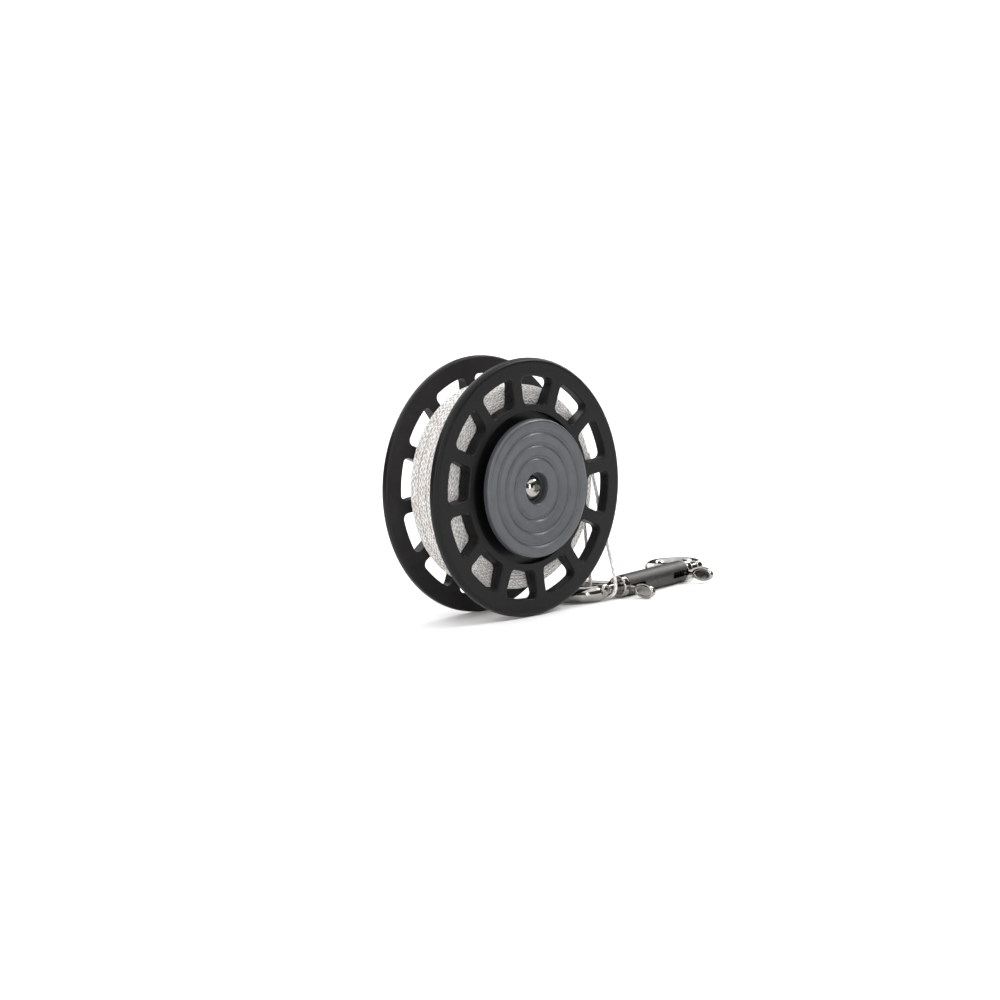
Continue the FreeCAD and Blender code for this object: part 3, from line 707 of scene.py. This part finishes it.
@dataclass
class FreeLine:
    """Free stretch of line from the winding round the snap's bolt and back, with its splice."""

    diameter_mm: float = 1.6
    splice_radius_mm: float = 1.3
    splice_length_mm: float = 15.0
    splice_at: int = 2
    length_m: float = 0.1375
    sides: int = 36
    line_crown: float = 0.12
    splice_crown: float = 0.22
    splice_fit: float = 1.02
    splice_taper: float = 1.2
    route_mm: tuple[tuple[float, float, float], ...] = (
        (47.2, -10.2, 70.5), (50.0, -10.6, 57.5), (53.2, -11.0, 42.2), (56.3, -11.7, 25.7),
        (54.6, -17.6, 11.5), (54.5, -18.0, 1.5), (50.6, -5.2, 1.0), (50.7, -5.0, 11.0),
        (48.7, -5.2, 27.0), (48.1, -5.0, 43.0), (48.5, -4.7, 58.0),
    )

    def centreline(self) -> list[Vector]:
        """Points read from a smooth spline whose control points are the route.

        Returns:
            The points in order, in metres.
        """
        curve = bpy.data.curves.new("line_route", "CURVE")
        curve.dimensions = "3D"
        spline = curve.splines.new("NURBS")
        spline.points.add(len(self.route_mm) - 1)
        for point, place in zip(spline.points, self.route_mm):
            point.co = (*(value * MM for value in place), 1.0)
        spline.order_u = 3
        spline.use_endpoint_u = True
        curve.resolution_u = 60
        carrier = bpy.data.objects.new("line_route", curve)
        bpy.context.scene.collection.objects.link(carrier)
        mesh = bpy.data.meshes.new_from_object(carrier)
        line = [vertex.co.copy() for vertex in mesh.vertices]
        bpy.data.objects.remove(carrier)
        bpy.data.meshes.remove(mesh)
        return line

    def build(self, wardrobe: Wardrobe) -> None:
        """Make the line and its splice.

        Args:
            wardrobe: Finishes to dress them with.
        """
        line = self.centreline()
        radius = self.diameter_mm / 2 * MM
        cord = tube("braided_line", line, [radius] * len(line), self.sides, False, crown=self.line_crown)
        finish_piece(cord, Body.SPOOL, Slot.LINE, wardrobe)
        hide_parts("line_loop")
        splice = self.splice(line)
        finish_piece(splice, Body.SPOOL, Slot.LINE, wardrobe)
        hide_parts("line_splice")

    def splice(self, line: list[Vector]) -> bpy.types.Object:
        """Thick stretch where the tail lies inside the braid.

        Args:
            line: Centreline of the free line.

        Returns:
            The splice.
        """
        middle = Vector(self.route_mm[self.splice_at]) * MM
        centre = min(line, key=lambda point: (point - middle).length)
        reach = self.splice_length_mm / 2 * MM
        inside = [point for point in line if (point - centre).length < reach]
        slim, fat = self.diameter_mm / 2 * self.splice_fit * MM, self.splice_radius_mm * MM
        radii = []
        for point in inside:
            share = (point - centre).length / reach
            radii.append(slim + (fat - slim) * (1 - share ** 2) ** self.splice_taper)
        return tube("line_splice_sleeve", inside, radii, self.sides, False, crown=self.splice_crown)


@dataclass
class LineWinding:
    """Line wound on the drum: two layers that cross, the end turns seen in the windows, a core."""

    axle_height_mm: float = 60.0
    line_radius_mm: float = 0.8
    outer_radius_mm: float = 47.6
    drum_radius_mm: float = 30.0
    drum_station_mm: float = 10.5
    rim_station_mm: float = 14.1
    flange_radius_mm: float = 60.0
    side_gap_mm: float = 0.15
    inner_seen_mm: float = 36.6
    step_deg: float = 0.75
    sides: int = 10
    seed: int = 7
    outer_turns: float = 12.6
    under_turns: float = 15.0
    outer_inset_mm: float = 0.12
    outer_edge_mm: float = 0.1
    under_depth_radii: float = 2.6
    under_edge_mm: float = 0.2
    core_depth_radii: float = 2.1
    core_gap_mm: float = 0.2
    core_bore_gap_mm: float = 0.05
    core_steps: int = 240
    core_map_mm: float = 1.2
    core_map_side: float = 2.0
    layer_sway_mm: float = 0.13
    layer_lift_mm: float = 0.06
    layer_slowness: float = 2.7
    end_sway_mm: float = 0.16
    end_lift_mm: float = 0.10
    end_slack_mm: float = 0.35
    end_inset_mm: float = 0.3
    end_fullness: float = 1.04
    end_pitch_share: float = 0.94

    def side_station(self, radius_mm: float) -> float:
        """Station of a line that lies against the flange's inner face.

        Args:
            radius_mm: Radius at which it lies.

        Returns:
            Its distance from the middle plane, in millimetres.
        """
        share = (radius_mm - self.drum_radius_mm) / (self.flange_radius_mm - self.drum_radius_mm)
        face = self.drum_station_mm + share * (self.rim_station_mm - self.drum_station_mm)
        return face - self.side_gap_mm - self.line_radius_mm

    def spot(self, radius_mm: float, degrees: float, station_mm: float) -> Vector:
        """Point on the winding.

        Args:
            radius_mm: Distance from the axle.
            degrees: Angle from the top, towards +X.
            station_mm: Distance along the axle.

        Returns:
            The point, in metres.
        """
        angle = math.radians(degrees)
        x, z = radius_mm * math.sin(angle), self.axle_height_mm + radius_mm * math.cos(angle)
        return Vector((x, station_mm, z)) * MM

    @staticmethod
    def wander(draw: Random, size_mm: float) -> list[tuple[float, float, float]]:
        """Slow random waves.

        Args:
            draw: Source of their unevenness.
            size_mm: Size of the slowest.

        Returns:
            Amplitude, whole number of waves a turn and phase of each.
        """
        return [(draw.uniform(0.3, 1.0) * size_mm / waves ** 0.5, waves, draw.uniform(0, 360))
                for waves in (1, 2, 3, 5, 8)]

    @staticmethod
    def drift(waves: list[tuple[float, float, float]], degrees: float) -> float:
        """Sum of slow waves at an angle."""
        return sum(size * math.sin(math.radians(k * degrees + phase)) for size, k, phase in waves)

    def layer(self, name: str, draw: Random, radius_mm: float, low: float, high: float,
              turns: float) -> bpy.types.Object:
        """One layer of turns that travels across the drum.

        Args:
            name: Name of the piece.
            draw: Source of its unevenness.
            radius_mm: Radius of the turns' middle.
            low: Station where it starts.
            high: Station where it ends.
            turns: How many turns it makes.

        Returns:
            The layer.
        """
        sway, lift = self.wander(draw, self.layer_sway_mm), self.wander(draw, self.layer_lift_mm)
        start = draw.uniform(0, 360)
        count = int(turns * 360 / self.step_deg)
        line = []
        for k in range(count + 1):
            degrees = start + k * self.step_deg
            slow = degrees / self.layer_slowness
            station = low + (high - low) * k / count + self.drift(sway, slow)
            station = max(-abs(low), min(abs(low), station))
            line.append(self.spot(radius_mm + self.drift(lift, slow) * 0.5, degrees, station))
        return tube(name, line, [self.line_radius_mm * MM] * len(line), self.sides, False,
                    start_mm=draw.uniform(0, 50))

    def end_turn(self, name: str, draw: Random, radius_mm: float, side: int) -> bpy.types.Object:
        """One closed turn that lies against a flange.

        Args:
            name: Name of the piece.
            draw: Source of its unevenness.
            radius_mm: Radius of the turn's middle.
            side: -1 at the front flange, 1 at the rear one.

        Returns:
            The turn.
        """
        sway, lift = self.wander(draw, self.end_sway_mm), self.wander(draw, self.end_lift_mm)
        line = []
        for k in range(int(360 / self.step_deg)):
            degrees = k * self.step_deg
            radius = radius_mm + self.drift(lift, degrees)
            loose = self.end_slack_mm - min(self.end_slack_mm, self.drift(sway, degrees))
            station = self.side_station(radius) - loose
            line.append(self.spot(radius, degrees, side * station))
        radius = self.line_radius_mm * self.end_fullness * MM
        return tube(name, line, [radius] * len(line), self.sides, True, start_mm=draw.uniform(0, 50))

    def core(self) -> bpy.types.Object:
        """Packed turns under the ones that show, as a turned body with its own UV map.

        Returns:
            The body.
        """
        top = self.outer_radius_mm - self.core_depth_radii * self.line_radius_mm
        bore = self.drum_radius_mm + self.core_bore_gap_mm
        wide = self.side_station(top) - self.core_gap_mm
        narrow = self.side_station(self.drum_radius_mm) - self.core_gap_mm
        profile = [(bore, -narrow), (top, -wide), (top, wide), (bore, narrow)]
        corners = len(profile)
        points, faces, texture = [], [], []
        for k in range(self.core_steps):
            points.extend(self.spot(r, 360 * k / self.core_steps, s) for r, s in profile)
            nxt = (k + 1) % self.core_steps
            low, high = k * self.core_map_mm, (k + 1) * self.core_map_mm
            for j in range(corners):
                i = (j + 1) % corners
                near, far = j * self.core_map_side, (j + 1) * self.core_map_side
                faces.append((k * corners + j, nxt * corners + j, nxt * corners + i, k * corners + i))
                texture.extend([(low, near), (high, near), (high, far), (low, far)])
        return piece("winding_core", points, faces, texture)

    def build(self, wardrobe: Wardrobe) -> None:
        """Make every turn that shows.

        Args:
            wardrobe: Finishes to dress them with.
        """
        draw = Random(self.seed)
        under = self.outer_radius_mm - self.under_depth_radii * self.line_radius_mm
        over = self.outer_radius_mm - self.line_radius_mm - self.outer_inset_mm
        side = self.side_station(over)
        inner, outer = side - self.under_edge_mm, side - self.outer_edge_mm
        parts = [
            self.core(),
            self.layer("winding_under_layer", draw, under, -inner, inner, self.under_turns),
            self.layer("winding_outer_layer", draw, over, outer, -outer, self.outer_turns),
        ]
        pitch = 2 * self.line_radius_mm * self.end_pitch_share
        rows = int((over - self.inner_seen_mm) / pitch) + 1
        for way, word in ((-1, "front"), (1, "rear")):
            for row in range(rows):
                name = f"winding_{word}_turn_{row + 1:02d}"
                radius = over - self.end_inset_mm - row * pitch
                parts.append(self.end_turn(name, draw, radius, way))
        for made in parts:
            finish_piece(made, Body.SPOOL, Slot.LINE, wardrobe)
            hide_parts("wound_line")


@dataclass
class SnapSprings:
    """Coil springs in the snap's barrel, made at one length; they do not shorten as the bolts are drawn.
    """

    centre_mm: tuple[float, float, float] = (89.0, -8.0, 5.3)
    turn_deg: float = 10.0
    seat_mm: float = 1.4
    end_mm: float = 22.8
    coil_radius_mm: float = 3.3
    wire_mm: float = 0.6
    coils: float = 9.0
    travel_mm: float = 12.0
    steps: int = 28
    sides: int = 8

    def build(self, wardrobe: Wardrobe) -> None:
        """Make both springs.

        Args:
            wardrobe: Finishes to dress them with.
        """
        angle = math.radians(self.turn_deg)
        along = Vector((math.cos(angle), math.sin(angle), 0))
        middle = Vector(self.centre_mm) * MM
        # The wire is painted near black, a painted shade for the dark inside of the barrel, so that the
        # slots show a dark bore and not bright coils.
        shade_dark_wire = TurnedSteel(
            title="spring steel, painted near black as barrel shade", colour="#2b2a29", shade="#1c1b1a").material()
        for word, way, joint in (("near", -along, Slide.NEAR), ("far", along, Slide.FAR)):
            side = UP.cross(way)
            count = int(self.coils * self.steps)
            line = []
            for k in range(count + 1):
                turn = 2 * math.pi * k / self.steps
                reach = self.seat_mm + (self.end_mm - self.seat_mm) * k / count
                swing = side * math.cos(turn) + UP * math.sin(turn)
                line.append(middle + (way * reach + swing * self.coil_radius_mm) * MM)
            radii = [self.wire_mm / 2 * MM] * len(line)
            made = tube(f"{word}_spring_coil", line, radii, self.sides, False)
            finish_piece(made, Body.SPOOL, Slot.TURNED, wardrobe)
            made.data.materials[0] = shade_dark_wire
            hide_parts(f"snap_{word}_bolt_spring")
            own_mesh(made)


@dataclass
class Studio:
    """Pale floor, soft lights and the camera."""

    elevation_deg: float = 7.0
    azimuth_deg: float = -44.1
    roll_deg: float = -2.4
    distance_m: float = 1.986
    lens_mm: float = 153.99
    sensor_mm: float = 36.0
    shift: tuple[float, float] = (-0.00195, -0.01464)
    middle: tuple[float, float, float] = (0.0, 0.0, 0.06)
    floor_half_m: float = 60.0
    floor_drop_m: float = 0.0001
    dim_world: float = 0.05
    sky: str = "#ffffff"
    dome_spread_deg: float = 110.0
    dome_strength: float = 3.7
    lights: tuple[tuple[str, tuple[float, float, float], tuple[float, float], float], ...] = (
        ("left_strip", (-1.3, -0.35, 0.6), (0.35, 1.3), 10.0),
        ("front_strip", (-0.42, -1.5, 0.35), (0.14, 0.9), 6.5),
        ("right_strip", (1.5, 0.35, 0.5), (0.3, 1.0), 10.0),
        ("upper_right_softbox", (1.0, -0.62, 1.0), (0.35, 0.25), 7.0),
        ("rear_softbox", (0.2, 1.5, 0.7), (1.4, 0.9), 10.0),
    )

    def camera(self) -> None:
        """Set the camera at the viewing angle."""
        azimuth, elevation, roll = (
            math.radians(angle) for angle in (self.azimuth_deg, self.elevation_deg, self.roll_deg))
        level = math.cos(elevation)
        back = Vector((math.sin(azimuth) * level, -math.cos(azimuth) * level, math.sin(elevation)))
        right = UP.cross(back).normalized()
        up = back.cross(right)
        turned_right = right * math.cos(roll) + up * math.sin(roll)
        turned_up = up * math.cos(roll) - right * math.sin(roll)
        lens = bpy.data.cameras.new("studio_camera")
        lens.sensor_width = self.sensor_mm
        lens.lens = self.lens_mm
        lens.shift_x, lens.shift_y = self.shift
        made = bpy.data.objects.new("studio_camera", lens)
        bpy.context.scene.collection.objects.link(made)
        place = Matrix((turned_right, turned_up, back)).transposed().to_4x4()
        place.translation = back * self.distance_m + Vector(self.middle)
        made.matrix_world = place
        bpy.context.scene.camera = made

    def build(self) -> None:
        """Make the floor, the world and the lights."""
        signs = ((-1, -1), (1, -1), (1, 1), (-1, 1))
        half = self.floor_half_m
        corners = [Vector((x * half, y * half, -self.floor_drop_m)) for x, y in signs]
        floor = piece("studio_floor", corners, [(0, 1, 2, 3)])
        floor.data.materials.append(PaintedSweep().material())
        world = bpy.data.worlds.new("studio_world")
        world.use_nodes = True
        bpy.context.scene.world = world
        tree = world.node_tree
        tree.nodes.clear()
        seen = add(tree, "ShaderNodeLightPath", {}).outputs["Is Camera Ray"]
        strength = add(tree, RANGE, {0: seen, 3: self.dim_world, 4: 1.0})
        sky = add(tree, "ShaderNodeBackground", {0: linear(self.sky), 1: strength})
        add(tree, "ShaderNodeOutputWorld", {0: sky})
        dome = bpy.data.lights.new("overhead_dome", "SUN")
        dome.angle, dome.energy = math.radians(self.dome_spread_deg), self.dome_strength
        bpy.context.scene.collection.objects.link(bpy.data.objects.new("overhead_dome", dome))
        for name, place, size_m, power in self.lights:
            lamp = bpy.data.lights.new(name, "AREA")
            lamp.shape = "RECTANGLE"
            lamp.size, lamp.size_y = size_m
            lamp.energy = power
            made = bpy.data.objects.new(name, lamp)
            bpy.context.scene.collection.objects.link(made)
            made.location = place
            aim = Vector(self.middle) - Vector(place)
            made.rotation_euler = aim.to_track_quat("-Z", "Y").to_euler()
        bpy.context.scene.view_settings.view_transform = "Standard"


def main() -> None:
    """Build the studio and every piece."""
    logging.basicConfig(level=logging.INFO, format="%(name)s %(message)s")
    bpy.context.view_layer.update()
    studio = Studio()
    studio.camera()
    wardrobe = Wardrobe()
    FreeLine().build(wardrobe)
    LineWinding().build(wardrobe)
    SnapSprings().build(wardrobe)
    wardrobe.dress_packed()
    studio.build()


if __name__ == "__main__":
    main()
